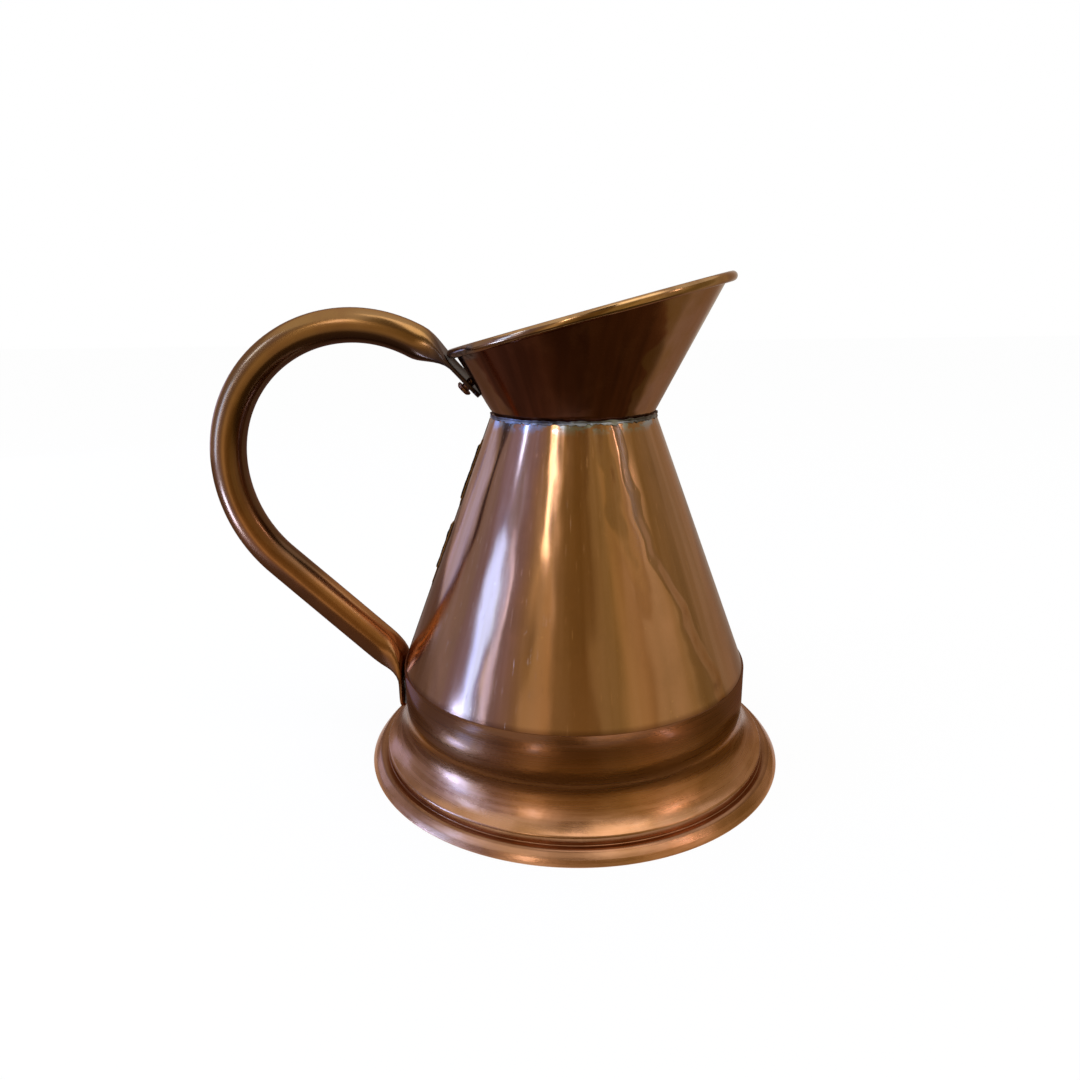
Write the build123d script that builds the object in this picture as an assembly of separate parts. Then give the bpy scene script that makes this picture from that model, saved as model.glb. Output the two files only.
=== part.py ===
from build123d import *
import math
import os

# A copper pitcher: a cone body on a moulded foot, a flared mouth cut on a slant
# and one hollow handle. It stands on z = 0 with the centre of its foot at the
# origin, its spout along +X and its handle along -X. Millimetres and degrees.

# Copper sheet, the clearance where one piece sits in another, and how far a shape
# that cuts runs past the piece that it cuts
body_sheet = 0.9
foot_sheet = 1.0
handle_sheet = 1.0
bottom_sheet = 1.2
joint_gap = 0.1
past_edge = 2.0

# Foot: collar, cove, step, groove, bead and the hem turned under it, each bend placed
# inwards from the foot's edge
foot_radius = 100.4
collar_radius = 82.7
cove_height = 9.9
cove_curve = 10.8
step_inset = 7.6
step_height = 8.3
step_curve = 1.2
groove_height = 4.5
bead_inset = 4.4
bead_height = 5.3
bead_curve = 2.0
hem_inset = 1.6
hem_height = 2.4
hem_curve = 2.5
hem_edge = 0.25
hem_flange = 5.0
bend_flat = 4.0

# Body cone: its neck leans a little towards the spout
shoulder_height = 47.3
shoulder_step = 0.6
shoulder_lap = 6.0
neck_radius = 37.4
neck_height = 165.6
neck_lean = 0.75

# Mouth: a cone that flares more at the back, cut by a plane that rises to the spout
mouth_flare = 0.563
mouth_back_lean = 0.043
mouth_lap = 8.0
mouth_rise = 40.8
rim_slope = 14.25
rim_wire_diameter = 2.2
rim_stand_off = 1.35
rim_bead_points = 10
rim_wire_points = 6

# Cramps of the body seam and the lap seam of the mouth, at the back
cramp_length = 29.0
cramp_pitch = 39.3
cramp_drop = 12.0
cramp_width = 8.0
cramp_height = 0.6
cramp_count = 2
braze_width = 1.0
braze_height = 0.4
mouth_seam_width = 3.0

# Handle: a tapered tube bent along a loop of arcs, pressed flat at both ends
tube_top_diameter = 15.4
tube_heel_diameter = 17.3
loop_reach = 162.3
loop_heel_radius = 65.8
upper_strap_reach = 54.3
upper_strap_drop = 20.4
upper_strap_slope = 47.0
upper_strap_set = 0.8
upper_strap_dish = 90.0
upper_strap_gap = 0.15
upper_flare_length = 20.0
lower_strap_end = 21.0
lower_bend_height = 41.8
lower_bend_radius = 15.0
lower_flare_length = 21.0
strap_lead = 0.5
strap_corner = 7.0
strap_pad = 1.1
strap_squareness = 6.0
section_points = 12
flare_sections = 4

# Rivet through the upper strap and the wall of the mouth
rivet_shank_diameter = 4.0
rivet_head_diameter = 7.2
rivet_head_height = 1.7
rivet_stand_off = 1.5
rivet_from_end = 7.3

# Solder
neck_solder_reach = 1.8
neck_solder_height = 0.35
solder_edge = 0.12
bottom_solder_leg = 2.5
shoulder_solder_leg = 2.0
strap_solder_inset = 4.0

# Values that follow from the sizes above
step_radius = foot_radius - step_inset
bead_radius = foot_radius - bead_inset
hem_radius = foot_radius - hem_inset
body_foot_radius = collar_radius - shoulder_step
body_slope = (body_foot_radius - neck_radius) / (neck_height - shoulder_height)
body_level_sheet = body_sheet * math.hypot(1, body_slope)
mouth_level_sheet = body_sheet * math.hypot(1, mouth_flare)
spigot_radius = collar_radius - foot_sheet - joint_gap
spigot_bore_radius = spigot_radius - body_sheet
neck_bore_radius = neck_radius - body_level_sheet
mouth_foot_radius = neck_bore_radius - joint_gap
rim_height = neck_height + mouth_rise
cramp_top = neck_height - cramp_drop
rim_rise = math.tan(math.radians(rim_slope))
rim_bead_radius = rim_wire_diameter / 2 + body_sheet
bottom_top = step_height - foot_sheet - joint_gap
bottom_radius = step_radius - foot_sheet - joint_gap
strap_thickness = 2 * handle_sheet
lower_strap_inside = collar_radius + strap_pad
strap_sine = math.sin(math.radians(upper_strap_slope))
strap_cosine = math.cos(math.radians(upper_strap_slope))
loop_top_radius = (loop_reach - upper_strap_reach) / (1 + strap_sine)
loop_height = rim_height - upper_strap_drop - loop_top_radius * strap_cosine
rim_plane = Plane((0, 0, rim_height), x_dir=(1, 0, rim_rise), z_dir=(-rim_rise, 0, 1))


def leaning_cone(low_radius, low_lean, low, top_radius, top_lean, top):
    """A cone between two level circles, tilted so that their centres come where they should."""
    flare = (top_radius - low_radius) / (top - low)
    tilt = (top_lean - low_lean) / (top - low) / (1 + flare ** 2)
    foot = low_lean - tilt * flare * low_radius - tilt * past_edge
    length = (top - low + 2 * past_edge) * math.hypot(1, tilt)
    cone = Cone(low_radius - flare * past_edge, top_radius + flare * past_edge, length,
                align=(Align.CENTER, Align.CENTER, Align.MIN))
    placed = Plane((foot, 0, low - past_edge), x_dir=(1, 0, -tilt), z_dir=(tilt, 0, 1)) * cone
    return placed & upright(2 * foot_radius, low, top)


def body_radius(height):
    return body_foot_radius - (height - shoulder_height) * body_slope


def body_lean(height):
    return neck_lean * (height - shoulder_height) / (neck_height - shoulder_height)


def mouth_radius(height):
    return mouth_foot_radius + (height - neck_height) * mouth_flare


def mouth_lean(height):
    return neck_lean - (height - neck_height) * mouth_back_lean


def body_solid(low, top, outwards):
    """All inside the body's outer surface, which is moved outwards by a level distance."""
    return leaning_cone(body_radius(low) + outwards, body_lean(low), low,
                        body_radius(top) + outwards, body_lean(top), top)


def mouth_solid(low, top, outwards):
    """All inside the mouth's outer surface, which is moved outwards by a level distance."""
    return leaning_cone(mouth_radius(low) + outwards, mouth_lean(low), low,
                        mouth_radius(top) + outwards, mouth_lean(top), top)


def upright(radius, low, top, lean=0.0):
    return Pos(lean, 0, low) * extrude(Circle(radius), top - low)


def turned(*points):
    """A closed outline of radius and height points, turned about the upright axis."""
    return revolve(Plane.XZ * make_face(Polyline(*points, close=True)), Axis.Z)


def back_box(width, low, top, depth_from, depth_to):
    """A box at the back, between two depths along -X."""
    outline = Pos(-(depth_from + depth_to) / 2, 0) * Rectangle(depth_to - depth_from, width)
    return Pos(0, 0, low) * extrude(outline, top - low)


def pressed_width(diameter, thickness):
    """How wide a tube of this diameter is once it is pressed to this thickness."""
    return thickness + math.pi / 2 * (diameter - thickness)


def foot_half(bends):
    """Half of the foot's section, filled in from the axis out, its bends made of short flats."""
    top = shoulder_height + foot_sheet
    outside = FilletPolyline(
        (collar_radius, top),
        (collar_radius, cove_height),
        (step_radius, step_height),
        (step_radius, groove_height),
        (bead_radius, bead_height),
        (hem_radius, hem_height),
        (foot_radius, hem_edge),
        (foot_radius - hem_edge, 0),
        (0, 0),
        (0, top),
        radius=bends + [0] * 3,
    )
    points = [outside @ 0]
    for edge in outside.edges():
        flats = 1 if edge.geom_type == GeomType.LINE else math.ceil(edge.length / bend_flat)
        points += [edge @ (number / flats) for number in range(1, flats + 1)]
    return make_face(Polyline(*points, close=True))


def foot_skirt():
    """Collar, cove, step, bead and hem: one sheet, its small bends rounded outside only."""
    filled = foot_half([cove_curve, step_curve, 0, bead_curve, hem_curve])
    hollow = offset(foot_half([cove_curve, 0, 0, 0, 0]), -foot_sheet, kind=Kind.INTERSECTION)
    hem_end = foot_radius - hem_flange
    inside = collar_radius - 2 * foot_sheet
    kept = make_face(Polyline((hem_end, 0), (foot_radius, 0), (foot_radius, shoulder_height),
                              (inside, shoulder_height), (inside, 2 * foot_sheet),
                              (hem_end, 2 * foot_sheet), close=True))
    return revolve(Plane.XZ * ((filled - hollow) & kept).face(), Axis.Z)


def bottom_disc():
    return upright(bottom_radius, bottom_top - bottom_sheet, bottom_top)


def bottom_solder():
    """A fillet of solder under the edge of the bottom disc, against the step's wall."""
    seat = step_radius - foot_sheet
    under = bottom_top - bottom_sheet
    return turned((seat, under), (seat - bottom_solder_leg, under),
                  (seat, under - bottom_solder_leg))


def shoulder_solder():
    """A fillet of solder inside, under the edge of the body's spigot."""
    seat = collar_radius - foot_sheet
    under = shoulder_height - shoulder_lap
    return turned((seat, under), (spigot_bore_radius, under),
                  (seat, under - shoulder_solder_leg))


def cramp_boxes(grow):
    """Boxes round the overlapping tabs of the body seam, grown all round."""
    boxes = []
    for number in range(cramp_count):
        top = cramp_top - number * cramp_pitch + grow
        low = top - cramp_length - 2 * grow
        boxes.append(back_box(cramp_width + 2 * grow, low, top, 0, collar_radius))
    return boxes


def body_cone():
    """A rolled cone with raised cramps, a joggled shoulder and a spigot in the collar."""
    low = shoulder_height - shoulder_lap
    outside = body_solid(shoulder_height, neck_height, 0)
    outside += upright(spigot_radius, low, shoulder_height)
    raised = body_solid(shoulder_height, neck_height, cramp_height)
    for box in cramp_boxes(0):
        outside += raised & box
    bore = upright(spigot_bore_radius, low, neck_height)
    bore &= body_solid(low, neck_height, -body_level_sheet)
    return outside - bore


def body_seam_braze():
    """Braze round the cramps and along the seam between them."""
    low = shoulder_height + braze_width
    top = neck_height - neck_solder_reach
    seam = back_box(braze_width, low, top, 0, collar_radius) + cramp_boxes(braze_width)
    raised = body_solid(low, top, braze_height) & (seam - cramp_boxes(0))
    return raised - body_solid(shoulder_height, neck_height, 0)


def rim_path(outwards):
    """The ellipse where the rim's plane cuts the mouth's surface, moved outwards."""
    radius = mouth_radius(rim_height) + outwards
    lean = mouth_lean(rim_height)
    along = 1 + mouth_back_lean * rim_rise
    widening = mouth_flare * rim_rise
    shrink = along ** 2 - widening ** 2
    middle = (lean * along + radius * widening) / shrink
    half_width = math.sqrt(middle ** 2 * shrink + radius ** 2 - lean ** 2)
    half_length = half_width / math.sqrt(shrink) * math.hypot(1, rim_rise)
    centre = Pos(middle, 0, middle * rim_rise + rim_height)
    tilt = Rot(0, -rim_slope, 0)
    return centre * tilt * Ellipse(half_length, half_width).wire()


def along_rim(section):
    """A section swept round the rim, with its middle on the bead's centre line."""
    path = rim_path(rim_stand_off * math.hypot(1, mouth_flare))
    start = Plane(path @ 0, x_dir=(0, 0, 1), z_dir=path % 0)
    return sweep(start * section, path=path)


def mouth_funnel():
    """A rolled cone with a spigot in the neck, cut on a slant, its edge curled round a wire."""
    top = rim_height + (rim_height + mouth_foot_radius) * rim_rise
    low = neck_height - mouth_lap
    overlap = neck_height + past_edge
    wall = upright(mouth_foot_radius, low, overlap, neck_lean) + mouth_solid(neck_height - past_edge, top, 0)
    wall -= upright(mouth_foot_radius - body_sheet, low, overlap, neck_lean)
    wall -= mouth_solid(neck_height - past_edge, top, -mouth_level_sheet)
    wall = split(wall, bisect_by=rim_plane, keep=Keep.BOTTOM)
    curl = along_rim(RegularPolygon(rim_bead_radius, rim_bead_points))
    hollow = along_rim(RegularPolygon(rim_wire_diameter / 2 + joint_gap, rim_wire_points))
    return wall + curl - hollow - rivet_hole()


def rim_wire():
    return along_rim(RegularPolygon(rim_wire_diameter / 2, rim_wire_points))


def mouth_seam_braze():
    """The raised lap seam up the back of the mouth."""
    low = neck_height + neck_solder_reach
    top = strap_end()[1] - strap_thickness
    strip = back_box(mouth_seam_width, low, top, 0, collar_radius)
    return (mouth_solid(low, top, braze_height) & strip) - mouth_solid(low, top, 0)


def neck_solder():
    """A bead of solder in the valley between the body and the mouth."""
    low = neck_height - neck_solder_reach
    top = neck_height + neck_solder_reach
    inside = mouth_foot_radius - body_sheet
    bead = Pos(neck_lean, 0) * turned((inside, low), (body_radius(low) + solder_edge, low),
                                      (neck_radius + neck_solder_height, neck_height),
                                      (mouth_radius(top) + solder_edge, top), (inside, top))
    return bead - body_solid(low, neck_height, 0) - mouth_solid(neck_height, top, 0)


def strap_start():
    """Where the loop's top arc runs out into the upper strap, which is set off its line."""
    across = -upper_strap_reach + upper_strap_set * strap_sine
    return across, rim_height - upper_strap_drop + upper_strap_set * strap_cosine


def strap_length():
    """The strap runs on until its inner face stands just off the mouth's wall."""
    across, up = strap_start()
    across += strap_thickness / 2 * strap_sine
    up += strap_thickness / 2 * strap_cosine
    back_flare = mouth_flare + mouth_back_lean
    wall = neck_lean - mouth_foot_radius - upper_strap_gap - back_flare * (up - neck_height)
    return (wall - across) / (strap_cosine - back_flare * strap_sine)


def strap_end(back=0.0):
    """A point of the upper strap's middle line, a distance back from its end."""
    across, up = strap_start()
    run = strap_length() - back
    return across + run * strap_cosine, up - run * strap_sine


def grip_slope():
    """How steeply the grip runs from the heel's arc down to the lower strap, in degrees."""
    drop = loop_height - lower_bend_height
    shift = loop_heel_radius - loop_reach + lower_strap_inside + strap_thickness / 2
    return math.degrees(math.atan2(shift, drop) + math.acos(loop_heel_radius / math.hypot(shift, drop)))


def handle_line():
    """The handle's middle line, from the upper strap's end round to the lower strap's."""
    top_centre = (-loop_reach + loop_top_radius, loop_height)
    heel_centre = (-loop_reach + loop_heel_radius, loop_height)
    top_arc = CenterArc(top_centre, loop_top_radius, 90 - upper_strap_slope,
                        90 + upper_strap_slope)
    heel_arc = CenterArc(heel_centre, loop_heel_radius, 180, 90 - grip_slope())
    strap = Line(top_arc @ 0 - top_arc % 0 * strap_length(), top_arc @ 0)
    heel = heel_arc @ 1
    strap_across = -lower_strap_inside - strap_thickness / 2
    grip = FilletPolyline(heel, (strap_across, lower_bend_height), (strap_across, lower_strap_end),
                          radius=lower_bend_radius)
    return Plane.XZ * Wire([*strap.edges(), *top_arc.edges(), *heel_arc.edges(), *grip.edges()])


def eased(value):
    share = min(max(value, 0), 1)
    return share * share * (3 - 2 * share)


def handle_marks(line):
    """Distances along the line where each pressed end starts and the round tube is reached."""
    lower_strap = line.edges().sort_by(Axis.Z)[0]
    first = strap_length() - strap_lead
    last = line.length - lower_strap.length
    return first, first + upper_flare_length, last - lower_flare_length, last


def handle_section(place, line, inset):
    """The tube's outline at a distance along the line: round, or pressed to a strap."""
    first, upper_end, lower_start, last = handle_marks(line)
    upper = eased((place - first) / upper_flare_length)
    lower = 1 - eased((place - lower_start) / lower_flare_length)
    taper = eased((place - upper_end) / (lower_start - upper_end))
    diameter = tube_top_diameter + (tube_heel_diameter - tube_top_diameter) * taper
    roundness = upper * lower
    thickness = strap_thickness + (diameter - strap_thickness) * roundness
    width = pressed_width(diameter, thickness)
    power = 2 / (2 + (strap_squareness - 2) * (1 - roundness))
    dish = (1 - upper) / (2 * upper_strap_dish)
    points = []
    for number in range(section_points):
        turn = 2 * math.pi * number / section_points
        across = math.copysign(abs(math.cos(turn)) ** power, math.cos(turn)) * (width / 2 - inset)
        rise = math.copysign(abs(math.sin(turn)) ** power, math.sin(turn)) * (thickness / 2 - inset)
        points.append((across, rise - dish * across ** 2 - upper_strap_set * (1 - upper)))
    centre = line.position_at(place, position_mode=PositionMode.LENGTH)
    along = line.tangent_at(place, position_mode=PositionMode.LENGTH)
    corners = points[::2] if inset else points
    return Plane(centre, x_dir=(0, 1, 0), z_dir=along) * make_face(Polyline(*corners, close=True))


def handle_middle(line, inset, skipped):
    """The two flares and the round tube between them; the hollow skips the pressed ends."""
    first, upper_end, lower_start, last = handle_marks(line)
    upper_step = upper_flare_length / flare_sections
    lower_step = lower_flare_length / flare_sections
    steps = range(skipped, flare_sections + 1)
    upper = loft([handle_section(first + upper_step * step, line, inset) for step in steps])
    lower = loft([handle_section(last - lower_step * step, line, inset) for step in steps])
    grip = [upper_end, (upper_end + lower_start) / 2, lower_start]
    tube = sweep([handle_section(place, line, inset) for place in grip],
                 path=line.trim(upper_end / line.length, lower_start / line.length),
                 multisection=True)
    return upper + tube + lower


def rounded_off(strap, end, width):
    """A strap with the two corners of its end rounded; the plane's X points off the end."""
    corners = Pos(-strap_corner / 2, 0) * Rectangle(strap_corner, width + past_edge)
    corners -= Pos(-width / 2, 0) * RectangleRounded(width, width, strap_corner)
    return strap - end * extrude(corners, width, both=True)


def handle_tube():
    """A hollow tube with both ends pressed flat, the upper one dished to lie round the mouth."""
    line = handle_line()
    marks = handle_marks(line)
    upper_strap = extrude(handle_section(marks[0], line, 0), -marks[0])
    upper_end_plane = Plane(line @ 0, x_dir=-(line % 0), z_dir=(strap_sine, 0, strap_cosine))
    upper_width = pressed_width(tube_top_diameter, strap_thickness)
    upper_strap = rounded_off(upper_strap, upper_end_plane, upper_width)
    lower_strap = extrude(handle_section(marks[3], line, 0), line.length - marks[3])
    lower_end_plane = Plane(line @ 1, x_dir=line % 1, z_dir=(-1, 0, 0))
    lower_width = pressed_width(tube_heel_diameter, strap_thickness)
    lower_strap = rounded_off(lower_strap, lower_end_plane, lower_width)
    outside = upper_strap + handle_middle(line, 0, 0) + lower_strap
    return outside - handle_middle(line, handle_sheet, 1) - rivet_hole()


def rivet_frame():
    """A plane on the upper strap's middle, its Z pointing out of the jug along the rivet."""
    across, up = strap_end(rivet_from_end)
    return Plane((across, 0, up), x_dir=(0, 1, 0), z_dir=(-strap_sine, 0, -strap_cosine))


def rivet_length():
    """From the strap's middle through the wall of the mouth, along the rivet."""
    across, up = strap_end(rivet_from_end)
    back_flare = mouth_flare + mouth_back_lean
    wall = neck_lean - mouth_foot_radius + mouth_level_sheet - back_flare * (up - neck_height)
    return (wall - across) / (strap_sine + back_flare * strap_cosine)


def rivet_hole():
    radius = rivet_shank_diameter / 2 + joint_gap
    hole = Pos(0, 0, -rivet_length() - rivet_head_diameter) * extrude(
        Circle(radius), rivet_length() + rivet_head_diameter + strap_thickness)
    return rivet_frame() * hole


def handle_rivet():
    """A head that stands off the strap, a shank, and an end peened over inside the mouth."""
    head_low = strap_thickness / 2 + rivet_stand_off
    head = Pos(0, 0, head_low) * extrude(Circle(rivet_head_diameter / 2), rivet_head_height)
    head = chamfer(head.edges().sort_by(Axis.Z)[-1], rivet_head_height / 2)
    tail = rivet_length() + rivet_head_height
    shank = Pos(0, 0, -tail) * extrude(Circle(rivet_shank_diameter / 2), tail + head_low)
    peened = Pos(0, 0, -tail) * extrude(Circle(rivet_head_diameter / 2), tail)
    inside = mouth_solid(neck_height, rim_height, -mouth_level_sheet - joint_gap)
    return rivet_frame() * (head + shank) + (rivet_frame() * peened & inside)


def handle_strap_solder():
    """The pad of solder between the flat lower strap and the round collar."""
    width = pressed_width(tube_heel_diameter, strap_thickness) - 2 * strap_solder_inset
    line = handle_line()
    top = line.position_at(handle_marks(line)[3], position_mode=PositionMode.LENGTH).Z
    low = lower_strap_end + strap_solder_inset / 2
    pad = back_box(width, low, top, collar_radius - width / 4, lower_strap_inside - 2 * joint_gap)
    return pad - upright(collar_radius, low, top)


makers = [foot_skirt, bottom_disc, bottom_solder, shoulder_solder, body_cone, body_seam_braze,
          mouth_funnel, rim_wire, mouth_seam_braze, neck_solder, handle_tube, handle_rivet,
          handle_strap_solder]

if __name__ == "__main__":
    os.makedirs("parts", exist_ok=True)
    for maker in makers:
        export_step(maker(), f"parts/{maker.__name__}.step")
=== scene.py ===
import bpy
import bmesh
import math
from mathutils import Matrix, Vector, noise


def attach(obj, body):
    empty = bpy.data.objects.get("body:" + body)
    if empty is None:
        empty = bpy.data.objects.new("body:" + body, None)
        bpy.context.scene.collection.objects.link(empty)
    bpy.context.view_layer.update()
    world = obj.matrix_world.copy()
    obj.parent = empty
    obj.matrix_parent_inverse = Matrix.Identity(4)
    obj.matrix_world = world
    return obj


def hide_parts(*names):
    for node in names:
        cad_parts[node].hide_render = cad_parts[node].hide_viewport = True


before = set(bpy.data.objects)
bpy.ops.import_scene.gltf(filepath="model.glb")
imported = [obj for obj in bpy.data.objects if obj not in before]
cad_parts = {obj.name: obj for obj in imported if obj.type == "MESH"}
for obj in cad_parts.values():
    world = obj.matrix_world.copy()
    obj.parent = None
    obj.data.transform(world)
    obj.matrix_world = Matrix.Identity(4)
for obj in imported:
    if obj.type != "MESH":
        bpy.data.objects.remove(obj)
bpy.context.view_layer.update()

# Camera
# It stands in front of the pitcher, a little above its rim, and looks down at it, with
# the handle at the left and the pouring lip at the right.
camera_place = Vector((0.0, -0.35835, 0.20603))
camera_down, camera_left, camera_roll = 0.2738, 0.043, 0.014
ahead = Vector((-math.sin(camera_left) * math.cos(camera_down),
                math.cos(camera_left) * math.cos(camera_down), -math.sin(camera_down)))
level_right = Vector((math.cos(camera_left), math.sin(camera_left), 0))
level_up = level_right.cross(ahead)
right = math.cos(camera_roll) * level_right - math.sin(camera_roll) * level_up
up = math.sin(camera_roll) * level_right + math.cos(camera_roll) * level_up
camera = bpy.data.objects.new("camera", bpy.data.cameras.new("camera"))
camera.data.lens = 25.89
camera.data.sensor_width = 36
camera.data.clip_start = 0.01
camera.matrix_world = Matrix.Translation(camera_place) @ Matrix((right, up, -ahead)).transposed().to_4x4()
bpy.context.collection.objects.link(camera)
bpy.context.scene.camera = camera

# Light
# A white studio with soft even light. Narrow cool and warm windows stand round the front,
# where the metal shows them as upright streaks.
bpy.context.scene.view_settings.view_transform = "Standard"
pitcher_middle = Vector((0, 0, 0.12))


def linear(hex_colour):
    """An sRGB hex colour as the linear red, green, blue and alpha that a socket takes."""
    channels = [int(hex_colour[place:place + 2], 16) / 255 for place in (1, 3, 5)]
    return [c / 12.92 if c <= 0.04045 else ((c + 0.055) / 1.055) ** 2.4 for c in channels] + [1]


def add_node(tree, kind, inputs=None, **settings):
    """Adds a node with its settings, and fills or links its inputs by name or number."""
    node = tree.nodes.new(kind)
    for name, value in settings.items():
        setattr(node, name, value)
    for name, value in (inputs or {}).items():
        if isinstance(value, bpy.types.NodeSocket):
            tree.links.new(value, node.inputs[name])
        else:
            node.inputs[name].default_value = value
    return node


def new_tree(data):
    """The empty node tree of a material or a world."""
    data.use_nodes = True
    data.node_tree.nodes.clear()
    return data.node_tree


def around(azimuth, distance, height):
    """A place at an angle from +X round the pitcher, at a distance and height in metres."""
    turn = math.radians(azimuth)
    return Vector((distance * math.cos(turn), distance * math.sin(turn), height))


def area_light(name, place, wide, high, colour, watts):
    """A rectangular soft light that faces the middle of the pitcher."""
    light = bpy.data.lights.new(name, "AREA")
    light.shape = "RECTANGLE"
    light.size = wide
    light.size_y = high
    light.color = linear(colour)[:3]
    light.energy = watts
    lamp = bpy.data.objects.new(name, light)
    lamp.location = place
    lamp.rotation_euler = (pitcher_middle - place).to_track_quat("-Z", "Y").to_euler()
    lamp.visible_camera = False
    bpy.context.collection.objects.link(lamp)


def seen_directly(tree):
    """One where a camera, glossy or transmission ray looks, and nothing where light falls."""
    ray = add_node(tree, "ShaderNodeLightPath")
    front = add_node(tree, "ShaderNodeMath", {0: ray.outputs["Is Camera Ray"], 1: ray.outputs["Is Glossy Ray"]},
                     operation="MAXIMUM")
    return add_node(tree, "ShaderNodeMath", {0: front.outputs[0], 1: ray.outputs["Is Transmission Ray"]},
                    operation="MAXIMUM").outputs[0]


world = bpy.data.worlds.new("white studio")
bpy.context.scene.world = world
tree = new_tree(world)
soft_light = add_node(tree, "ShaderNodeBackground", {"Color": linear("#FFFFFF"), "Strength": 0.9})
shown_white = add_node(tree, "ShaderNodeBackground", {"Color": linear("#FFFFFF"), "Strength": 1.0})
either = add_node(tree, "ShaderNodeMixShader", {0: seen_directly(tree), 1: soft_light.outputs[0],
                                                2: shown_white.outputs[0]})
add_node(tree, "ShaderNodeOutputWorld", {"Surface": either.outputs[0]})

# Angle round the pitcher, distance, middle's height, width, height, colour and watts
windows = [(-158, 1.25, 0.25, 0.24, 0.50, "#6E9CFF", 3.2), (-159, 1.25, 0.80, 0.16, 0.40, "#8CB0FF", 2.8),
           (-147, 1.25, 0.30, 0.05, 0.50, "#A8BCFF", 0.45), (148, 1.25, 0.22, 0.50, 0.40, "#8CA8FF", 1.1),
           (-159, 0.42, 0.03, 0.08, 0.06, "#7AA0FF", 0.40), (-114, 1.25, 0.76, 0.10, 0.50, "#F4F2FF", 1.3),
           (-26, 1.25, 0.80, 0.06, 0.50, "#FFE8F0", 1.1)]
for azimuth, distance, level, wide, high, colour, watts in windows:
    area_light("window", around(azimuth, distance, level), wide, high, colour, watts)
area_light("top light", Vector((0.3, -0.5, 1.6)), 1.0, 1.0, "#FFFFFF", 5)

# Floor and cards
# A plain pale floor that keeps the pitcher's soft shadow. The grey and brown cards round it
# and on it are seen only by the metal, as the light and dark bands of a room.
floor_half = 8
floor_mesh = bmesh.new()
bmesh.ops.create_grid(floor_mesh, x_segments=1, y_segments=1, size=floor_half)
floor = bpy.data.objects.new("floor", bpy.data.meshes.new("floor"))
floor_mesh.to_mesh(floor.data)
floor_mesh.free()
bpy.context.collection.objects.link(floor)


def new_material(name):
    """A new material and its empty node tree."""
    material = bpy.data.materials.new(name)
    return material, new_tree(material)


# Matt paper that glows white where it is looked at, with a share left to take the shadow
glow_share = 0.93
pale, tree = new_material("pale studio floor")
share = add_node(tree, "ShaderNodeMath", {0: seen_directly(tree), 1: glow_share}, operation="MULTIPLY")
paper = add_node(tree, "ShaderNodeBsdfDiffuse", {"Color": linear("#F6F6F6")})
glow = add_node(tree, "ShaderNodeEmission", {"Color": linear("#FFFFFF"), "Strength": 1.0})
mixed = add_node(tree, "ShaderNodeMixShader", {0: share.outputs[0], 1: paper.outputs[0], 2: glow.outputs[0]})
add_node(tree, "ShaderNodeOutputMaterial", {"Surface": mixed.outputs[0]})
floor.data.materials.append(pale)


def card_material(name, bands):
    """Paper that glows evenly, its colour set by the angle round the pitcher in degrees."""
    paint, tree = new_material(name)
    place = add_node(tree, "ShaderNodeTexCoord")
    turn = add_node(tree, "ShaderNodeTexGradient", {"Vector": place.outputs["Object"]}, gradient_type="RADIAL")
    tint = add_node(tree, "ShaderNodeValToRGB", {0: turn.outputs["Fac"]})
    for number, (azimuth, colour) in enumerate(bands):
        spot = (azimuth + 180) / 360
        stop = tint.color_ramp.elements[number] if number < 2 else tint.color_ramp.elements.new(spot)
        stop.position = spot
        stop.color = linear(colour)
    glow = add_node(tree, "ShaderNodeEmission", {"Color": tint.outputs["Color"], "Strength": 1.0})
    add_node(tree, "ShaderNodeOutputMaterial", {"Surface": glow.outputs[0]})
    return paint


def card_object(name, mesh, paint):
    """A card that only glossy rays meet: it hides nothing, lights nothing and casts no shadow."""
    card = bpy.data.objects.new(name, bpy.data.meshes.new(name))
    mesh.to_mesh(card.data)
    mesh.free()
    card.data.materials.append(paint)
    bpy.context.collection.objects.link(card)
    card.visible_camera = False
    card.visible_diffuse = False
    card.visible_shadow = False
    card.visible_transmission = False


def drawn_out(mesh):
    """Extrudes all edges of a mesh and gives the new vertices, still in the old ones' places."""
    grown = bmesh.ops.extrude_edge_only(mesh, edges=mesh.edges[:])["geom"]
    return [part for part in grown if isinstance(part, bmesh.types.BMVert)]


def ring_of_card(inner, outer):
    """A flat ring that lies just above the floor."""
    ring = bmesh.new()
    bmesh.ops.create_circle(ring, radius=outer, segments=card_segments)
    bmesh.ops.scale(ring, vec=(inner / outer, inner / outer, 1), verts=drawn_out(ring))
    bmesh.ops.translate(ring, vec=(0, 0, card_lift), verts=ring.verts)
    return ring


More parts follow.
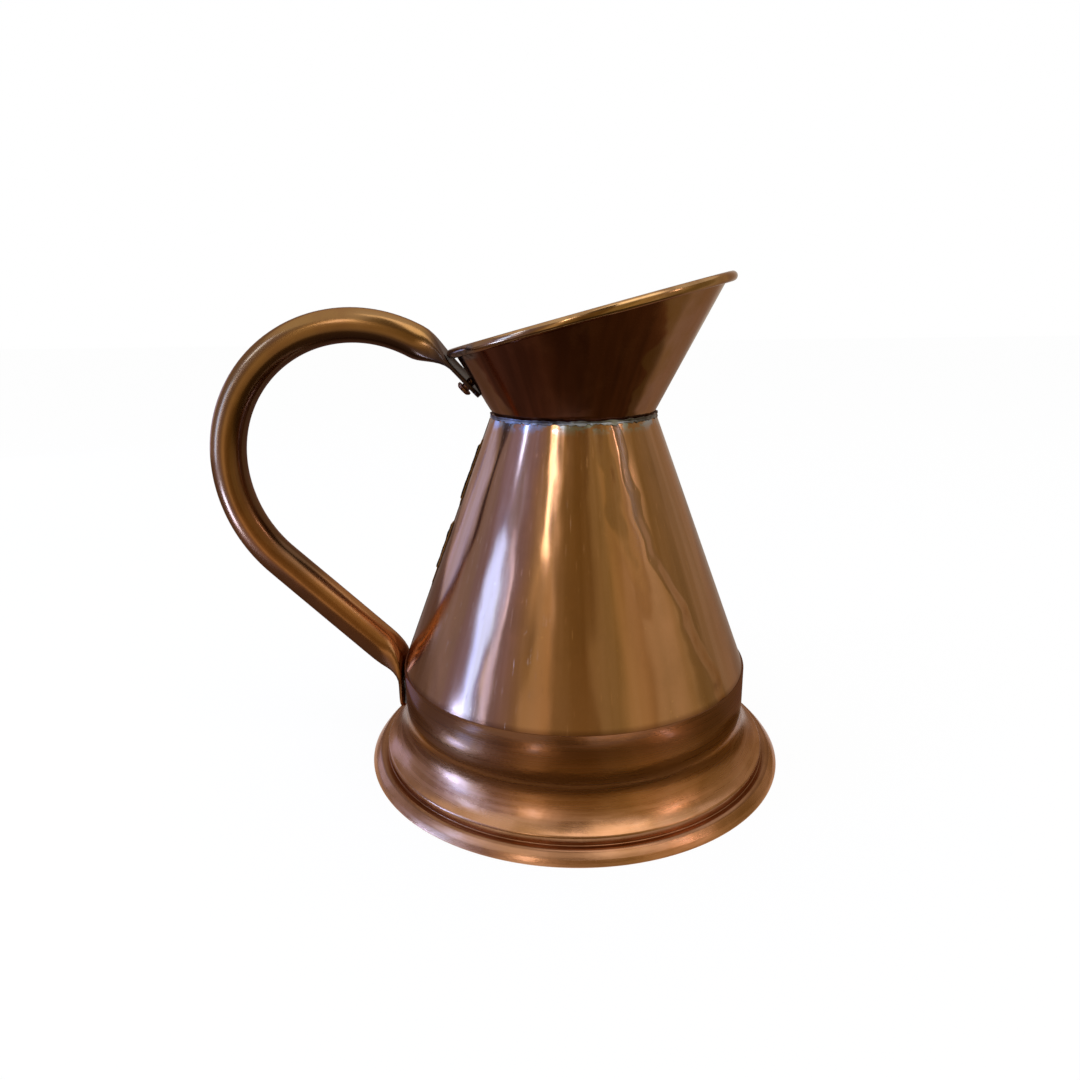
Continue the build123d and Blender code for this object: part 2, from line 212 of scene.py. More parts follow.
# The wall's radius, the radii where the floor's rings meet and begin, and heights
wall_distance, ring_border, ring_hole = 1.3, 0.32, 0.11
wall_top, card_lift, card_segments = 1.15, 0.0005, 96
front_bands = [(-152, "#B4B6E2"), (-140, "#9C92AC"), (-122, "#A8946C"), (-119, "#DCCCB0"), (-107, "#E0C8A0"),
               (-104, "#988458"), (-76, "#8C7444"), (-73, "#B4A47C"), (-58, "#A89868"), (-54, "#D0BC8C"),
               (-40, "#BCA478"), (-36, "#D4C4A4"), (-14, "#C0B088"), (-11, "#9C8C60"), (12, "#9C8E6C"),
               (16, "#B8AC98")]
wall_mesh = bmesh.new()
bmesh.ops.create_circle(wall_mesh, radius=wall_distance, segments=card_segments)
bmesh.ops.translate(wall_mesh, vec=(0, 0, wall_top), verts=drawn_out(wall_mesh))
card_object("wall of cards", wall_mesh, card_material("grey and brown wall cards", [
    (-180, "#A8A0C4"), (-166, "#A8A0CC"), *front_bands, (70, "#C8BEB0"), (120, "#B8B0B0"), (180, "#A8A4B8")]))
card_object("outer floor card", ring_of_card(ring_border, wall_distance), card_material("grey and brown floor card", [
    (-180, "#7C7070"), (-166, "#A8A0CC"), *front_bands, (70, "#B0A498"), (115, "#807068"), (180, "#7C7070")]))
card_object("inner floor card", ring_of_card(ring_hole, ring_border), card_material("brown floor card", [
    (-180, "#6A5C58"), (-140, "#6A5A50"), (-110, "#5A4A36"), (-60, "#54462C"), (-20, "#605034"),
    (10, "#6E5E40"), (16, "#AEA294"), (90, "#A89C94"), (130, "#8A7A74"), (157, "#8A7C78"),
    (161, "#6A5C58"), (180, "#6A5C58")]))

# A leaning card in front, higher than the wall, that the middle of the foot shows as brown
lean_low, lean_high = (0.75, 0.67), (0.40, 1.60)  # distance and height of its two edges
leaning_card = bmesh.new()
low_edge = [leaning_card.verts.new(around(azimuth, *lean_low)) for azimuth in (-108, -98, -88, -78)]
for first, second in zip(low_edge, low_edge[1:]):
    leaning_card.edges.new((first, second))
high_edge = drawn_out(leaning_card)
bmesh.ops.scale(leaning_card, vec=(lean_high[0] / lean_low[0], lean_high[0] / lean_low[0], 1), verts=high_edge)
bmesh.ops.translate(leaning_card, vec=(0, 0, lean_high[1] - lean_low[1]), verts=high_edge)
card_object("dark card above the wall", leaning_card,
            card_material("dark brown card", [(-180, "#6E5E44"), (180, "#6E5E44")]))

# Foot
# Copper sheet spun over a former: an upright collar, a hollow cove, a step, a groove and a
# rolled bead, its edge hemmed under. Handling has left it satin. Painted shade makes the
# cove browner, the collar dark brown and the groove's floor dark.


def new_piece(name, mesh, material, replaced=(), sheet=0.0, sharp=50):
    """Makes the finished mesh an object of the pitcher, smooth, with its sheet's thickness."""
    piece = bpy.data.objects.new(name, bpy.data.meshes.new(name))
    mesh.to_mesh(piece.data)
    mesh.free()
    piece.data.shade_smooth()
    piece.data.set_sharp_from_angle(angle=math.radians(sharp))
    piece.data.materials.append(material)
    bpy.context.collection.objects.link(piece)
    if sheet:
        wall = piece.modifiers.new("sheet", "SOLIDIFY")
        wall.thickness = sheet
        wall.offset = -1
    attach(piece, "root")
    if replaced:
        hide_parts(*replaced)


def joined(tree, first, second, operation="MULTIPLY"):
    """Two values multiplied, or put together by another operation."""
    return add_node(tree, "ShaderNodeMath", {0: first, 1: second}, operation=operation).outputs[0]


def object_place(tree):
    """Each point's own place on the pitcher, in metres."""
    return add_node(tree, "ShaderNodeTexCoord").outputs["Object"]


def unrolled(tree, radius):
    """The pitcher's round wall laid flat, in metres, with each point's turn, height and X."""
    split = add_node(tree, "ShaderNodeSeparateXYZ", {0: object_place(tree)})
    turn = joined(tree, split.outputs["Y"], split.outputs["X"], "ARCTAN2")
    flat = add_node(tree, "ShaderNodeCombineXYZ", {0: joined(tree, turn, radius), 1: split.outputs["Z"]})
    return {"flat": flat.outputs[0], "turn": turn, "height": split.outputs["Z"], "x": split.outputs["X"]}


def pattern(tree, vector, size, detail=3.0, roughness=0.55, turn=0.0):
    """A cloudy pattern from nought to one whose marks are this wide and high, in millimetres."""
    laid = add_node(tree, "ShaderNodeMapping", {"Vector": vector, "Rotation": (0, 0, math.radians(turn)),
                                                "Scale": [1000 / length for length in size]})
    cloud = add_node(tree, "ShaderNodeTexNoise", {"Vector": laid.outputs[0], "Scale": 1.0, "Detail": detail,
                                                  "Roughness": roughness})
    return cloud.outputs[0]


def between(tree, value, low, high, to_low=0.0, to_high=1.0):
    """Stretches part of a value's range to a new range, smoothly, and stops at its ends."""
    return add_node(tree, "ShaderNodeMapRange", {"Value": value, 1: low, 2: high, 3: to_low, 4: to_high},
                    interpolation_type="SMOOTHSTEP").outputs[0]


def blended(tree, share, first, second):
    """One colour turning into another, each a hex value or a socket."""
    mix = add_node(tree, "ShaderNodeMix", {0: share}, data_type="RGBA")
    for number, colour in ((6, first), (7, second)):
        if isinstance(colour, str):
            mix.inputs[number].default_value = linear(colour)
        else:
            tree.links.new(colour, mix.inputs[number])
    return mix.outputs[2]


def bumped(tree, height, depth, before=None):
    """A bump of this many millimetres where the height is one."""
    bump = add_node(tree, "ShaderNodeBump", {"Strength": 1.0, "Distance": depth / 1000, "Height": height})
    if before:
        tree.links.new(before, bump.inputs["Normal"])
    return bump.outputs[0]


def metal(tree, colour, roughness, normal, lacquer=0.0):
    """Metal with this colour, roughness and surface, under this share of thin clear lacquer."""
    shader = add_node(tree, "ShaderNodeBsdfPrincipled", {"Metallic": 1.0, "Base Color": colour,
                                                         "Roughness": roughness, "Normal": normal,
                                                         "Specular Tint": linear("#D0B09C"),
                                                         "Coat Weight": lacquer, "Coat Roughness": 0.16})
    add_node(tree, "ShaderNodeOutputMaterial", {"Surface": shader.outputs[0]})


# Satin copper: broad soft highlights, faint marks of wiping that run round, painted shade up the cove and on the
# collar
cove_low, cove_high, collar_low, collar_high = 0.010, 0.026, 0.024, 0.041
groove_floor, groove_lower, groove_upper, groove_top = 0.0042, 0.0046, 0.0049, 0.0056
foot_copper, tree = new_material("satin worn copper")
wall = unrolled(tree, 0.09)
mottle = pattern(tree, wall["flat"], (26, 14, 20), 4)
wiped = pattern(tree, wall["flat"], (60, 2.2, 20), 3)
base = blended(tree, between(tree, mottle, 0.35, 0.68), "#BA8660", "#A06E42")
base = blended(tree, between(tree, wiped, 0.45, 0.7, 0, 0.45), base, "#CE9870")
# Painted shade: browner up the cove, then dark brown on the collar above it
base = blended(tree, between(tree, wall["height"], cove_low, cove_high, 0, 0.85), base, "#A46A38")
base = blended(tree, between(tree, wall["height"], collar_low, collar_high, 0, 0.8), base, "#4E280A")
# Painted shade: the groove's floor, between the step and the bead, is painted dark brown
groove_shade = joined(tree, between(tree, wall["height"], groove_top, groove_upper),
                   between(tree, wall["height"], groove_floor, groove_lower))
base = blended(tree, joined(tree, groove_shade, 0.5), base, "#5C3420")
metal(tree, base, between(tree, wiped, 0.3, 0.7, 0.24, 0.32), bumped(tree, mottle, 0.35), 0.3)

# Outer side of the foot's sheet from the collar's edge down: radius, height and bend, in mm
foot_corners = [(82.7, 47.3, 0), (82.7, 14.1, 18.5), (92.8, 8.3, 1.2), (92.8, 4.5, 0.4), (96.0, 5.3, 2.0),
                (98.8, 2.4, 2.5), (100.4, 0.25, 0.2), (100.15, 0, 0), (95.4, 0, 0)]
foot_sheet, foot_steps, wide_bend = 0.001, 256, 5
foot_mesh = bmesh.new()
corners = [foot_mesh.verts.new((radius / 1000, 0, level / 1000)) for radius, level, bend in foot_corners]
for first, second in zip(corners, corners[1:]):
    foot_mesh.edges.new((first, second))
foot_mesh.verts.ensure_lookup_table()
for corner, (radius, level, bend) in zip(corners, foot_corners):
    if bend:
        ways = [(edge.other_vert(corner).co - corner.co).normalized() for edge in corner.link_edges]
        half_turn = (math.pi - ways[0].angle(ways[1])) / 2
        bmesh.ops.bevel(foot_mesh, geom=[corner], offset=bend / 1000 * math.tan(half_turn), offset_type="OFFSET",
                        segments=20 if bend > wide_bend else 5, profile=0.5, affect="VERTICES", material=-1)
bmesh.ops.spin(foot_mesh, geom=foot_mesh.verts[:] + foot_mesh.edges[:], cent=(0, 0, 0), axis=(0, 0, 1),
               dvec=(0, 0, 0), angle=2 * math.pi, steps=foot_steps, use_merge=True, use_duplicate=False)
bmesh.ops.remove_doubles(foot_mesh, verts=foot_mesh.verts, dist=0.00001)
bmesh.ops.recalc_face_normals(foot_mesh, faces=foot_mesh.faces)
widest = max(foot_mesh.faces, key=lambda face: face.calc_area())
if widest.normal.dot(widest.calc_center_median() * Vector((1, 1, 0))) < 0:
    bmesh.ops.reverse_faces(foot_mesh, faces=foot_mesh.faces)
new_piece("spun_foot", foot_mesh, foot_copper, ["foot_skirt"], foot_sheet)

# Bottom disc and the solder inside
# The bottom is a flat disc of dull copper set up inside the foot. Soft solder run round its
# edge, and under the edge of the body, holds the three pieces together.


def finish_nodes(material, *names):
    """Gives CAD nodes that keep their shape this material."""
    for name in names:
        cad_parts[name].data.materials.clear()
        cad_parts[name].data.materials.append(material)


# Unpolished copper: dull, stained in clouds
bottom_copper, tree = new_material("dull brown copper")
stain = pattern(tree, object_place(tree), (40, 40, 40), 5)
metal(tree, blended(tree, between(tree, stain, 0.35, 0.7), "#8A5A40", "#56351F"),
      between(tree, stain, 0.3, 0.7, 0.42, 0.6), bumped(tree, stain, 0.15))
finish_nodes(bottom_copper, "bottom_disc")

# Tin and lead solder: a grey film over small bright lumps
solder_grey, tree = new_material("uneven grey soft solder")
lumps = pattern(tree, object_place(tree), (3.0, 3.0, 3.0), 4, 0.6)
film = pattern(tree, object_place(tree), (9, 9, 9), 3)
grey = blended(tree, between(tree, film, 0.35, 0.65), "#A0A8B0", "#5C5A58")
metal(tree, blended(tree, between(tree, lumps, 0.55, 0.75), grey, "#B8C2C8"),
      between(tree, lumps, 0.3, 0.7, 0.34, 0.55), bumped(tree, lumps, 0.35))
finish_nodes(solder_grey, "bottom_solder", "shoulder_solder", "handle_strap_solder")

# Body cone
# Copper sheet rolled into a cone and cramped at the back. It was polished long ago: a thin
# brown patina in upright streaks, hairline scratches, specks, and shallow dents.
body_radius, body_foot, body_neck = 0.0821, 0.0473, 0.1656
crease_foot, crease_neck, crease_wander = -0.74, -1.17, 0.34  # angles round the cone, in radians
crease_left, crease_right = -0.24, 0.12
darkened_foot, darkened_top, tinned_foot, tinned_top = 0.0474, 0.0500, 0.1596, 0.1652
body_copper, tree = new_material("polished copper with brown patina")
wall = unrolled(tree, 0.06)
streak = pattern(tree, wall["flat"], (5.5, 160, 10), 3, 0.5)
wide_streak = pattern(tree, wall["flat"], (17, 260, 10), 2, 0.5)
mottle = pattern(tree, wall["flat"], (14, 20, 10), 4, 0.6)
dent = pattern(tree, wall["flat"], (19, 46, 10), 1.5, 0.4)
grain = pattern(tree, wall["flat"], (0.35, 1.1, 1), 2)
# Real scratches and rolling marks are some hundredths of a millimetre wide; at 0.3 mm they show
scratch = joined(tree, between(tree, pattern(tree, wall["flat"], (0.35, 15, 10), 1, 0.5, 24), 0.73, 0.79),
                 between(tree, pattern(tree, wall["flat"], (0.3, 11, 10), 1, 0.5, -52), 0.74, 0.80), "MAXIMUM")
speck = between(tree, pattern(tree, wall["flat"], (0.9, 0.9, 0.9), 1), 0.74, 0.80)
# Polished copper: clear reflections, drawn out upwards by the streaks, and warm in the thin places
base = blended(tree, between(tree, wide_streak, 0.36, 0.64), "#BC8C68", "#A67A50")
base = blended(tree, between(tree, streak, 0.38, 0.66, 0, 0.35), base, "#C69A7C")
base = blended(tree, between(tree, mottle, 0.45, 0.75, 0, 0.35), base, "#9C7450")
base = blended(tree, joined(tree, speck, 0.8), base, "#DCAE74")
# Darker over the cone's last few millimetres above the foot's collar
base = blended(tree, between(tree, wall["height"], darkened_top, darkened_foot, 0, 0.6), base, "#6A3A16")
base = blended(tree, joined(tree, scratch, 0.5), base, "#D8A878")
# Tinned blotches, where the neck's solder ran under the iron
blotch = pattern(tree, wall["flat"], (9, 5, 10), 3, 0.6)
tinned = joined(tree, between(tree, wall["height"], tinned_foot, tinned_top), between(tree, blotch, 0.46, 0.56))
base = blended(tree, tinned, base, "#A4B2C0")
# One long crease that wanders up the right of the front
crease = add_node(tree, "ShaderNodeMapRange", {"Value": wall["height"], 1: body_foot, 2: body_neck,
                                               3: crease_foot, 4: crease_neck}).outputs[0]
wobble = joined(tree, pattern(tree, wall["flat"], (34, 24, 10), 1.5), 0.5, "SUBTRACT")
crease = joined(tree, crease, joined(tree, wobble, crease_wander), "ADD")
off_crease = joined(tree, wall["turn"], crease, "SUBTRACT")
ridge = joined(tree, between(tree, off_crease, crease_left, 0.0), between(tree, off_crease, crease_right, 0.0))
surface = bumped(tree, dent, 1.1, bumped(tree, grain, 0.008, bumped(tree, scratch, -0.02)))
metal(tree, base, between(tree, streak, 0.3, 0.7, 0.10, 0.18), bumped(tree, ridge, 1.3, surface), 0.5)
finish_nodes(body_copper, "body_cone")

# Seam braze
# Yellow braze run along the cramped seam at the back of the cone, and up the lap seam of
# the mouth. It is dull and a little lumpy, and painted shade darkens its hollows.
braze_yellow, tree = new_material("dull yellow braze")
lumps = pattern(tree, object_place(tree), (1.6, 1.6, 2.4), 3, 0.6)
# Painted shade: dark brown where the lumps sink, yellow on their tops
metal(tree, blended(tree, between(tree, lumps, 0.35, 0.7), "#3E2C1C", "#7A5C30"),
      between(tree, lumps, 0.3, 0.7, 0.38, 0.5), bumped(tree, lumps, 0.12))
finish_nodes(braze_yellow, "body_seam_braze", "mouth_seam_braze")

# Cramp tabs
# The cone's two edges are cut into tabs that lap over each other before they are brazed.
# Two of the outer tabs stand proud at the back, their side edges painted black as shade.
tab_wide, tab_thick, tab_bevel, tab_uneven = 0.0075, 0.0026, 0.0007, 0.0004
tab_levels = [(0.0915, 0.1145), (0.1250, 0.1525)]
cone_top_radius, long_edge, lumps_a_metre = 0.0363, 0.004, 260
# Copper left rough by the fire, its side edges painted black as shade up to a ragged border
shaded_tab_copper, tree = new_material("tab copper with painted black shade")
place = object_place(tree)
split = add_node(tree, "ShaderNodeSeparateXYZ", {0: place})
tab_cloud = pattern(tree, place, (2.0, 2.0, 3.0), 3, 0.6)
# Painted shade: black beyond a ragged line on either side of the tabs' middle
off_middle = joined(tree, split.outputs["Y"], 0.0, "ABSOLUTE")
shade_reach = joined(tree, off_middle, joined(tree, tab_cloud, 0.004), "ADD")
metal(tree, blended(tree, between(tree, shade_reach, 0.0040, 0.0051), "#7C5234", "#140D0A"),
      between(tree, tab_cloud, 0.3, 0.7, 0.40, 0.55), bumped(tree, tab_cloud, 0.1))
lean = math.atan((body_radius - cone_top_radius) / (body_neck - body_foot))
tabs = bmesh.new()
for tab_foot, tab_top in tab_levels:
    middle = (tab_foot + tab_top) / 2
    reach = body_radius - math.tan(lean) * (middle - body_foot)
    tab = bmesh.ops.create_cube(tabs, size=1)["verts"]
    bmesh.ops.scale(tabs, vec=(tab_thick, tab_wide, tab_top - tab_foot), verts=tab)
    bmesh.ops.transform(tabs, matrix=Matrix.Translation((-reach, 0, middle)) @ Matrix.Rotation(lean, 4, "Y"),
                        verts=tab)
bmesh.ops.bevel(tabs, geom=tabs.edges[:], offset=tab_bevel, offset_type="OFFSET", segments=2, profile=0.5,
                affect="EDGES", material=-1)
bmesh.ops.subdivide_edges(tabs, edges=[edge for edge in tabs.edges if edge.calc_length() > long_edge], cuts=10,
                          use_grid_fill=True)
noise.seed_set(7)  # without a seed of its own, this noise differs from run to run
for vert in tabs.verts:
    vert.co += tab_uneven * noise.noise_vector(vert.co * lumps_a_metre)
bmesh.ops.recalc_face_normals(tabs, faces=tabs.faces)
new_piece("cramp_tabs", tabs, shaded_tab_copper)

# Mouth
# A rolled copper funnel set into the neck, cut on a slant, with its edge curled outwards
# round an iron wire. A dark brown patina covers it, and grey repair metal its back edge.
neck_radius, neck_lean, spigot_depth = 0.03634, 0.00075, 0.008
mouth_flare, mouth_lean = 0.563, 0.043
rim_height, rim_slope = 0.2064, math.tan(math.radians(14.25))
mouth_sheet, curl_radius, curl_turn = 0.0009, 0.0021, 310
mouth_segments, mouth_rows, curl_steps = 192, 12, 16
inner_radius = neck_radius - mouth_sheet * math.hypot(1, mouth_flare)
front_edge, back_edge, edge_blur = 0.96, 2.36, 0.06  # angles from the lip, in radians
rim_bright_low, rim_bright_full = 0.0022, 0.0012  # below the rim
mended_low, mended_full = 0.0054, 0.0034
mended_front, mended_back = -0.036, -0.043

# Polished copper gone dark brown: deep clear reflections, with a painted sheen that makes it paler towards the lip
# and the back
mouth_copper, tree = new_material("dark brown patina on copper")
wall = unrolled(tree, 0.045)
mottle = pattern(tree, wall["flat"], (12, 16, 10), 4, 0.6)
streak = pattern(tree, wall["flat"], (7, 60, 10), 2, 0.5)
dent = pattern(tree, wall["flat"], (24, 40, 10), 1.5, 0.4)
grain = pattern(tree, wall["flat"], (0.4, 0.9, 1), 2)
base = blended(tree, between(tree, streak, 0.36, 0.64), "#8A5032", "#6C3A1E")
base = blended(tree, between(tree, mottle, 0.5, 0.75, 0, 0.5), base, "#9A6444")
# Painted sheen: the lip and the back are painted paler, each to a wavy edge
edge_wave = joined(tree, joined(tree, pattern(tree, wall["flat"], (40, 15, 10), 2), 0.5, "SUBTRACT"), 0.5)
from_lip = joined(tree, joined(tree, wall["turn"], 0.0, "ABSOLUTE"), edge_wave, "ADD")
worn = joined(tree, between(tree, from_lip, front_edge, front_edge - edge_blur),
              between(tree, from_lip, back_edge, back_edge + edge_blur), "MAXIMUM")
sheen = pattern(tree, wall["flat"], (11, 14, 10), 3, 0.6)
sheen_copper = blended(tree, between(tree, sheen, 0.35, 0.65), "#A87E64", "#9C7246")
base = blended(tree, joined(tree, worn, 0.75), base, sheen_copper)
# Height measured from the rim's slanted plane: the rim is rubbed bright, its back edge mended
slant = add_node(tree, "ShaderNodeMath", {0: wall["x"], 1: -rim_slope, 2: wall["height"]},
                 operation="MULTIPLY_ADD").outputs[0]
rim_copper = blended(tree, between(tree, mottle, 0.4, 0.7), "#AC8454", "#8A643C")
rubbed = between(tree, slant, rim_height - rim_bright_low, rim_height - rim_bright_full)
base = blended(tree, rubbed, base, rim_copper)
mended = joined(tree, between(tree, slant, rim_height - mended_low, rim_height - mended_full),
                between(tree, mottle, 0.30, 0.42))
mended = joined(tree, between(tree, wall["x"], mended_front, mended_back), mended)
crumb = pattern(tree, wall["flat"], (3.6, 1.8, 3), 4, 0.7)
base = blended(tree, mended, base, blended(tree, between(tree, crumb, 0.34, 0.64), "#38302A", "#8E867E"))
surface = bumped(tree, dent, 1.1, bumped(tree, grain, 0.005))
metal(tree, base, between(tree, mottle, 0.3, 0.7, 0.10, 0.17), surface, 0.4)


def mouth_point(turn, share):
    """A point of the mouth's inner face: share 0 at the neck, 1 on the slanted rim."""
    lift = rim_height - body_neck + rim_slope * (neck_lean + inner_radius * math.cos(turn))
    lift *= share / (1 + rim_slope * mouth_lean - rim_slope * mouth_flare * math.cos(turn))
    radius = inner_radius + mouth_flare * lift
    middle = neck_lean - mouth_lean * lift
    return Vector((middle + radius * math.cos(turn), radius * math.sin(turn), body_neck + lift))


def curl_point(turn, angle):
    """A point of the curl, which leaves the inner face at the rim and rolls over outwards."""
    edge = mouth_point(turn, 1)
    along = (mouth_point(turn + 0.01, 1) - mouth_point(turn - 0.01, 1)).normalized()
    outwards = along.cross(edge - mouth_point(turn, 0)).normalized()
    rise = outwards.cross(along)
    dip = (outwards.z - rim_slope * outwards.x) / (rise.z - rim_slope * rise.x)
    return edge + curl_radius * ((1 - math.cos(angle)) * outwards + (math.sin(angle) - dip) * rise)


def grow_ring(mesh, edges, place):
    """Extrudes a ring of edges and puts each new vertex where its angle round the ring says."""
    turn_layer = mesh.verts.layers.float["turn"]
    grown = bmesh.ops.extrude_edge_only(mesh, edges=edges)["geom"]
    for vert in grown:
        if isinstance(vert, bmesh.types.BMVert):
            vert.co = place(vert[turn_layer])
    return [edge for edge in grown if isinstance(edge, bmesh.types.BMEdge)]


def first_ring(mesh, segments, place):
    """A ring of vertices that remember their angle, each put where that angle says."""
    turn_layer = mesh.verts.layers.float.new("turn")
    for vert in bmesh.ops.create_circle(mesh, radius=1, segments=segments)["verts"]:
        vert[turn_layer] = math.atan2(vert.co.y, vert.co.x)
        vert.co = place(vert[turn_layer])
    return mesh.edges[:]


mouth_mesh = bmesh.new()
edges = first_ring(mouth_mesh, mouth_segments, lambda turn: mouth_point(turn, 0) - Vector((0, 0, spigot_depth)))
for row in range(mouth_rows + 1):
    edges = grow_ring(mouth_mesh, edges, lambda turn: mouth_point(turn, row / mouth_rows))
for step in range(curl_steps + 1):
    edges = grow_ring(mouth_mesh, edges, lambda turn: curl_point(turn, math.radians(curl_turn) * step / curl_steps))
bmesh.ops.recalc_face_normals(mouth_mesh, faces=mouth_mesh.faces)
lowest = min(mouth_mesh.faces, key=lambda face: face.calc_center_median().z)
if lowest.normal.dot(lowest.calc_center_median() * Vector((1, 1, 0))) > 0:
    bmesh.ops.reverse_faces(mouth_mesh, faces=mouth_mesh.faces)
new_piece("wired_mouth", mouth_mesh, mouth_copper, ["mouth_funnel"], mouth_sheet)

# Drawn iron wire, with rust in clouds
iron, tree = new_material("dull iron wire")
rust = pattern(tree, object_place(tree), (4, 4, 4), 4)
metal(tree, blended(tree, between(tree, rust, 0.4, 0.7), "#6A6662", "#5A3E2C"),
      between(tree, rust, 0.3, 0.7, 0.4, 0.65), bumped(tree, rust, 0.05))
finish_nodes(iron, "rim_wire")

# Neck solder
# Soft solder run round the joint of body and mouth with an iron and left as it cooled: a
# grey bead of uneven width with lumps and a few short runs down the cone.
bead_reach, bead_wall, bead_crest, bead_edge, bead_sheet = 0.0009, 0.0372, 0.0378, 0.00075, 0.0006
bead_segments, bead_steps, wander_scale, lump_scale = 256, 6, 9, 22


def solder_point(turn, step):
    """A point of the bead's section, from the cone below round its crest to the mouth above."""
    wander = noise.noise(Vector((math.cos(turn), math.sin(turn), 0)) * wander_scale)
    lump = noise.noise(Vector((math.cos(turn), math.sin(turn), 3)) * lump_scale)
    angle = math.pi * (step / bead_steps - 0.5)
    reach = bead_reach * (1 + 0.6 * wander + (1.5 * max(lump, -0.4) if angle < 0 else 0.25 * lump))
    radius = bead_wall + (bead_crest - bead_wall) * math.cos(angle) * (1 + 0.5 * lump)
    radius += bead_edge * abs(math.sin(angle))
    level = body_neck + reach * math.sin(angle)
    return Vector((neck_lean + radius * math.cos(turn), radius * math.sin(turn), level))


solder_ring = bmesh.new()
edges = first_ring(solder_ring, bead_segments, lambda turn: solder_point(turn, 0))
for step in range(1, bead_steps + 1):
    edges = grow_ring(solder_ring, edges, lambda turn: solder_point(turn, step))
bmesh.ops.recalc_face_normals(solder_ring, faces=solder_ring.faces)
new_piece("neck_solder_bead", solder_ring, solder_grey, ["neck_solder"], bead_sheet)

# Handle
# A tapered copper tube bent to a loop, its two ends pressed flat into straps: the upper one
# dished to lie along the mouth, the lower one bent down against the collar.
tube_top, tube_heel, taper_run, strap_sheet = 0.0154, 0.0173, 0.246, 0.002
upper_end, top_radius, heel_radius = Vector((-0.04248, 0, 0.17332)), 0.06238, 0.0658
upper_slope, grip_slope = math.radians(47), math.radians(43.39)
strap_run, grip_run, bend_radius, lower_run = 0.01733, 0.07191, 0.015, 0.01434
upper_start, upper_flare, lower_flare = 0.01683, 0.020, 0.021
strap_corner, strap_dish, strap_set = 0.007, 0.055, 0.0008
handle_segments, station_gap = 48, 0.0025
# The line's runs from the upper strap's end: length and the radius it bends to, straight where none
line_runs = [(strap_run, None), (top_radius * (math.pi / 2 + upper_slope), top_radius),
             (heel_radius * (math.pi / 2 - grip_slope), heel_radius), (grip_run, None),
             (bend_radius * (math.pi / 2 - grip_slope), -bend_radius), (lower_run, None)]
line_length = sum(length for length, radius in line_runs)

# Copper worn by hands: soft highlights on olive brown. Painted light makes the grip paler low down, and painted shade
# darkens the inside of the loop and the strap at the rivet
loop_middle, loop_shaded, loop_unshaded = (-0.0985, 0, 0.1435), 0.0565, 0.0635
grip_height, loop_height, strap_low, strap_high, strap_back, strap_front = 0.10, 0.19, 0.12, 0.16, -0.068, -0.058
handle_copper, tree = new_material("hand-worn olive brown copper")
place = object_place(tree)
split = add_node(tree, "ShaderNodeSeparateXYZ", {0: place})
mottle = pattern(tree, place, (18, 18, 18), 4, 0.6)
worn = pattern(tree, place, (40, 9, 40), 3, 0.5)
# Painted light: paler down the grip, browner towards the top of the loop
base = blended(tree, between(tree, split.outputs["Z"], grip_height, loop_height), "#AE7646", "#8E6634")
base = blended(tree, between(tree, mottle, 0.38, 0.66, 0, 0.35), base, "#7C5230")
base = blended(tree, between(tree, worn, 0.45, 0.7, 0, 0.35), base, "#A47E54")
# Painted shade: dark brown on the inner side of the loop, nearest its middle
flattened = add_node(tree, "ShaderNodeVectorMath", {0: place, 1: (1, 0, 1)}, operation="MULTIPLY").outputs[0]
from_loop = add_node(tree, "ShaderNodeVectorMath", {0: flattened, 1: loop_middle},
                     operation="DISTANCE").outputs["Value"]
base = blended(tree, between(tree, from_loop, loop_unshaded, loop_shaded, 0, 0.85), base, "#43260C")
# Painted shade: the upper strap's end by the rivet is painted near black, and made duller
strap_end_shade = joined(tree, between(tree, split.outputs["X"], strap_back, strap_front),
                   between(tree, split.outputs["Z"], strap_low, strap_high))
base = blended(tree, joined(tree, strap_end_shade, 0.9), base, "#2E1A12")
dull = joined(tree, joined(tree, strap_end_shade, 0.55), between(tree, worn, 0.3, 0.7, 0.25, 0.21), "MAXIMUM")
metal(tree, base, dull, bumped(tree, pattern(tree, place, (26, 26, 26), 0), 0.05), 0.3)


def line_place(distance):
    """The point and direction of the handle's middle line at a distance from its upper end."""
    point = upper_end
    heading = math.pi - upper_slope
    for length, radius in line_runs:
        step = min(distance, length)
        if radius is None:
            point = point + step * Vector((math.cos(heading), 0, math.sin(heading)))
        else:
            centre = point + radius * Vector((-math.sin(heading), 0, math.cos(heading)))
            heading += step / radius
            point = centre - radius * Vector((-math.sin(heading), 0, math.cos(heading)))
        distance -= step
        if distance <= 0:
            break
    return point, heading


def eased(value):
    """Nought to one, slow at both ends."""
    share = min(max(value, 0), 1)
    return share * share * (3 - 2 * share)


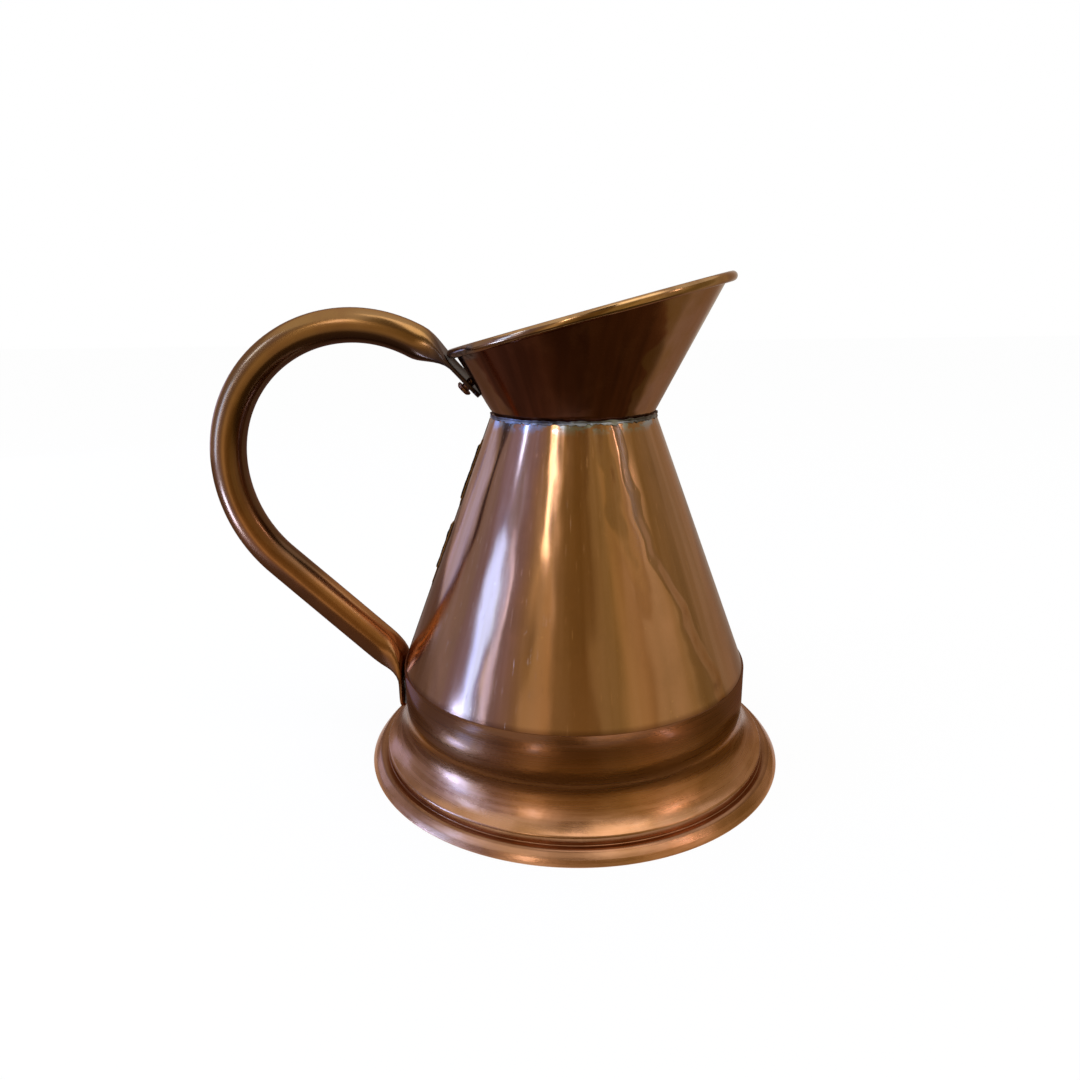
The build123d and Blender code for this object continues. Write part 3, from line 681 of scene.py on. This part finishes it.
def handle_point(turn, distance):
    """A point of the handle's skin: round along the grip, pressed flat at both ends."""
    upper = eased((distance - upper_start) / upper_flare)
    lower = eased((line_length - lower_run - distance) / lower_flare)
    taper = eased((distance - upper_start - upper_flare) / taper_run)
    diameter = tube_top + (tube_heel - tube_top) * taper
    thick = strap_sheet + (diameter - strap_sheet) * upper * lower
    wide = thick + math.pi / 2 * (diameter - thick)
    to_end = min(distance, line_length - distance)
    if to_end < strap_corner:
        wide -= 2 * (strap_corner - math.sqrt(strap_corner ** 2 - (strap_corner - to_end) ** 2))
    roundness = 2 / (2 + 4 * (1 - upper * lower))
    sideways = math.copysign(abs(math.cos(turn)) ** roundness, math.cos(turn)) * wide / 2
    rise = math.copysign(abs(math.sin(turn)) ** roundness, math.sin(turn)) * thick / 2
    dish = (1 - upper) / (2 * strap_dish) * sideways ** 2
    point, heading = line_place(distance)
    off_wall = Vector((-math.sin(heading), 0, math.cos(heading)))
    return point + Vector((0, sideways, 0)) + off_wall * (rise - dish - strap_set * (1 - upper))


# Where the tube's rings stand along the line, closer together at the rounded strap ends
end_stations, first_station = [0, 0.0003, 0.001, 0.002, 0.0035, 0.005, 0.007], 0.010
station_count = int((line_length - 2 * first_station) / station_gap)
stations = end_stations + [first_station + station_gap * number for number in range(station_count)]
stations += [line_length - distance for distance in reversed(end_stations)]
handle_mesh = bmesh.new()
edges = first_ring(handle_mesh, handle_segments, lambda turn: handle_point(turn, stations[0]))
bmesh.ops.contextual_create(handle_mesh, geom=edges)
for station in stations[1:]:
    edges = grow_ring(handle_mesh, edges, lambda turn: handle_point(turn, station))
bmesh.ops.contextual_create(handle_mesh, geom=edges)
bmesh.ops.recalc_face_normals(handle_mesh, faces=handle_mesh.faces)
new_piece("bent_tube_handle", handle_mesh, handle_copper, ["handle_tube"], sharp=60)

# Rivet
# A copper rivet holds the upper strap to the mouth. Its head was hammered down by hand,
# so it is faceted and dark, and it stands a little off the strap.
rivet_copper, tree = new_material("dark hammered copper")
blow = pattern(tree, object_place(tree), (2.2, 2.2, 2.2), 2, 0.5)
metal(tree, blended(tree, between(tree, blow, 0.35, 0.65), "#86604C", "#4A2E22"),
      between(tree, blow, 0.3, 0.7, 0.26, 0.4), bumped(tree, blow, 0.4))
finish_nodes(rivet_copper, "handle_rivet")
